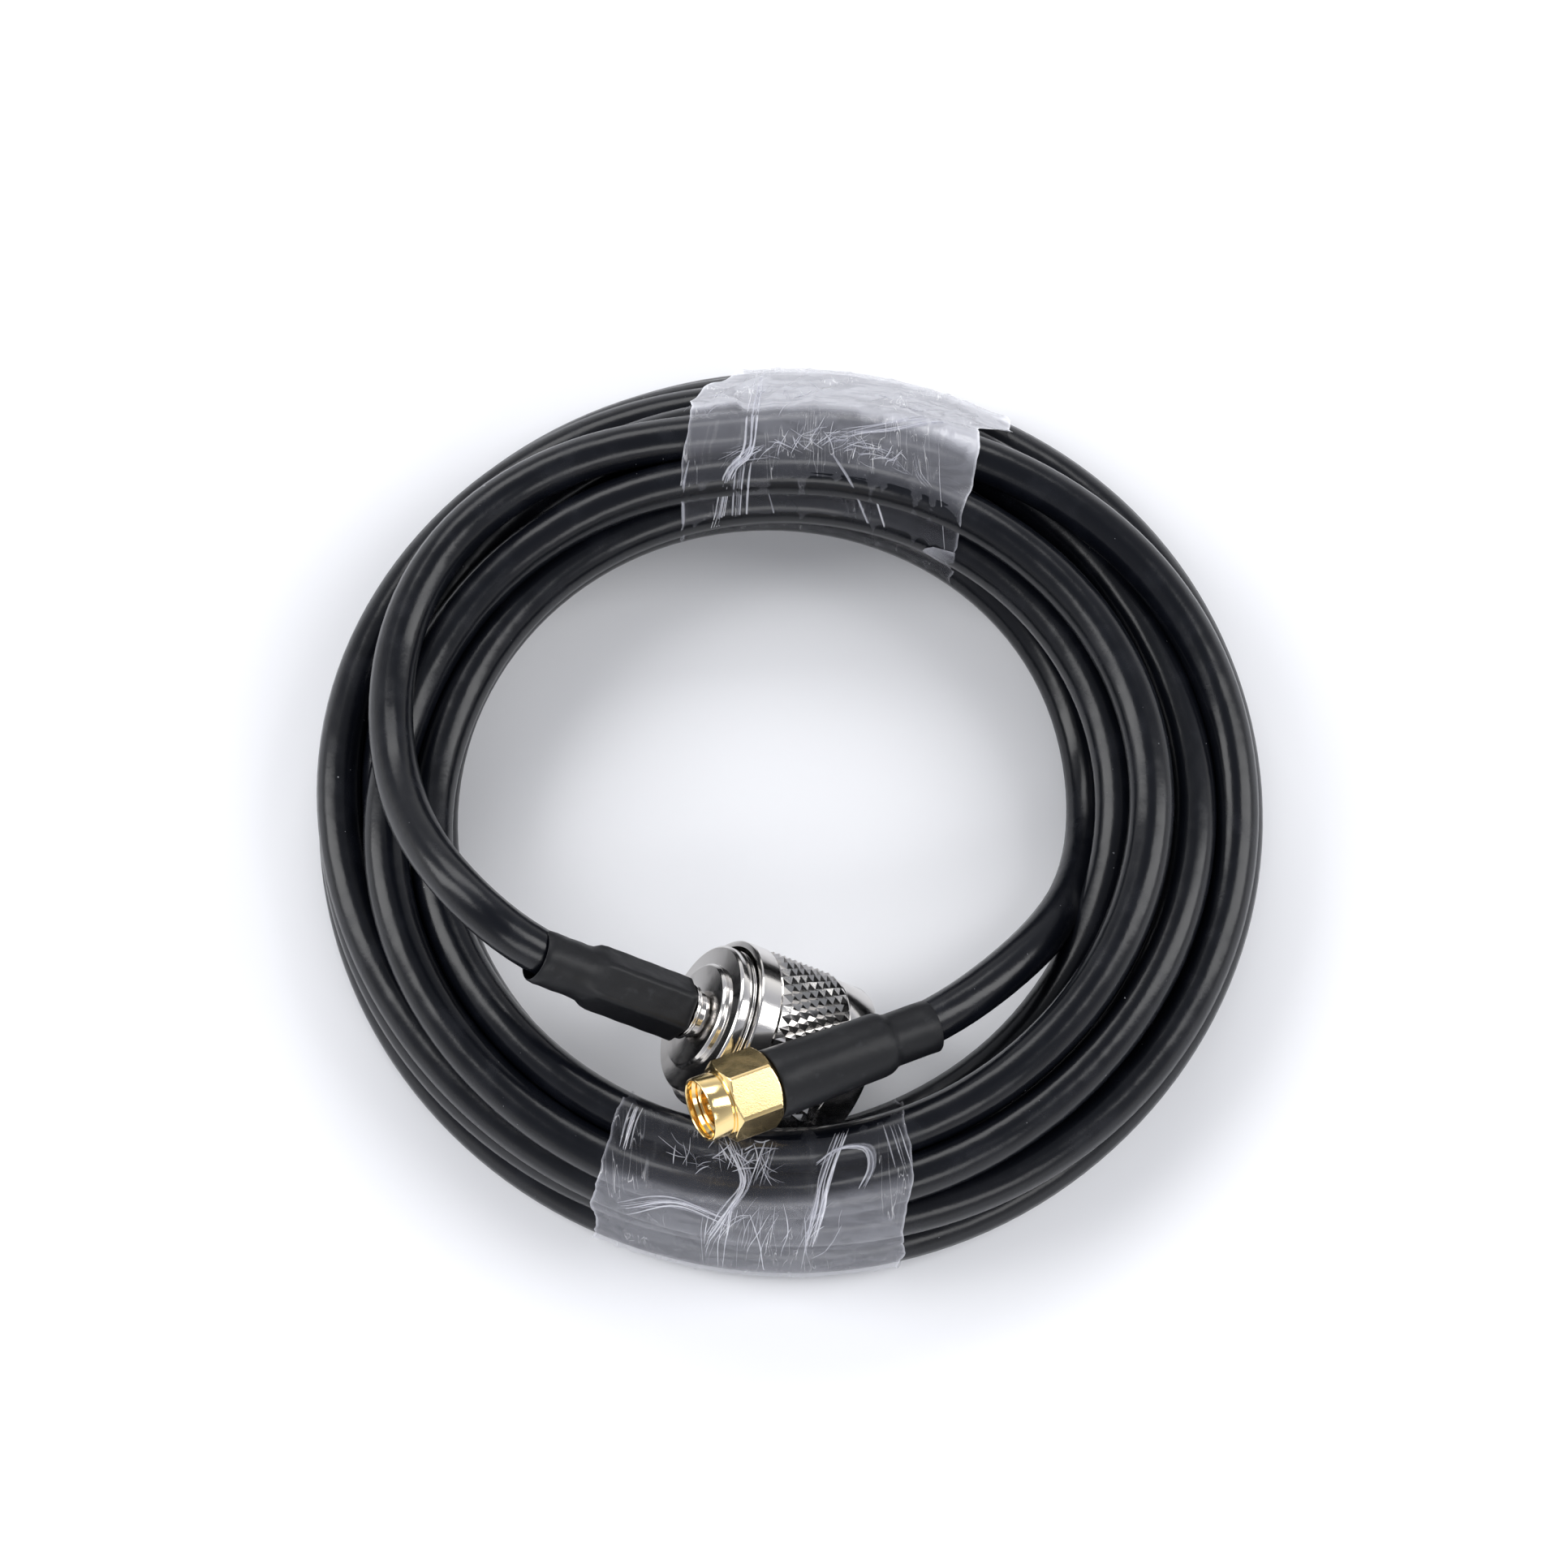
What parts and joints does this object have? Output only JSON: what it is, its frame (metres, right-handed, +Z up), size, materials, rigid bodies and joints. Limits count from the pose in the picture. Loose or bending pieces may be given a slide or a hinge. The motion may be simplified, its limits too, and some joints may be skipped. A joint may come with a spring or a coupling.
{
  "type": "coiled coaxial extension lead",
  "caption": "Coaxial extension lead wound into a flat round coil held by film wraps, with a large knurled plug at one end and a small hexagon-nut plug at the other.",
  "frame": {"origin": "on the floor, under the middle of the coil's outer rim", "axes": "+Z up, away from the surface that the coil lies on; +Y towards the side of the coil opposite the two plugs; +X to the right as seen from the plugs' side"},
  "size_m": [0.1084, 0.1099, 0.0333],
  "materials": {
    "cable_jacket": "smooth black cable jacket with a soft sheen",
    "heat_shrink": "matte black heat-shrink sleeve",
    "nickel": "bright nickel plating",
    "gold": "polished gold plating",
    "ptfe": "white insulator",
    "gasket_rubber": "black rubber",
    "film": "thin clear wrapping film with fine creases"
  },
  "bodies": {
    "cable": {"coil": "cable_jacket", "far_film_wrap": "film", "near_film_wrap": "film", "n_cable_tail": "cable_jacket", "sma_cable_tail": "cable_jacket", "n_body": "nickel", "n_retaining_ring": "nickel", "n_gasket": "gasket_rubber", "n_insulator": "ptfe", "n_centre_pin": "gold", "n_crimp_ferrule": "nickel", "n_heat_shrink": "heat_shrink", "sma_body": "gold", "sma_insulator": "ptfe", "sma_centre_pin": "gold", "sma_crimp_ferrule": "gold", "sma_heat_shrink": "heat_shrink"},
    "n_nut": {"n_coupling_nut": "nickel"},
    "sma_nut": {"sma_coupling_nut": "gold"}
  },
  "joints": [
    {"name": "n_nut_spin", "type": "hinge", "parent": "cable", "child": "n_nut", "pos_m": [-0.00808, -0.02889, 0.0166], "axis": [0.8294, -0.1854, -0.527], "continuous": true},
    {"name": "sma_nut_spin", "type": "hinge", "parent": "cable", "child": "sma_nut", "pos_m": [-0.0094, -0.0416, 0.02815], "axis": [-0.8731, -0.3998, 0.279], "continuous": true}
  ]
}
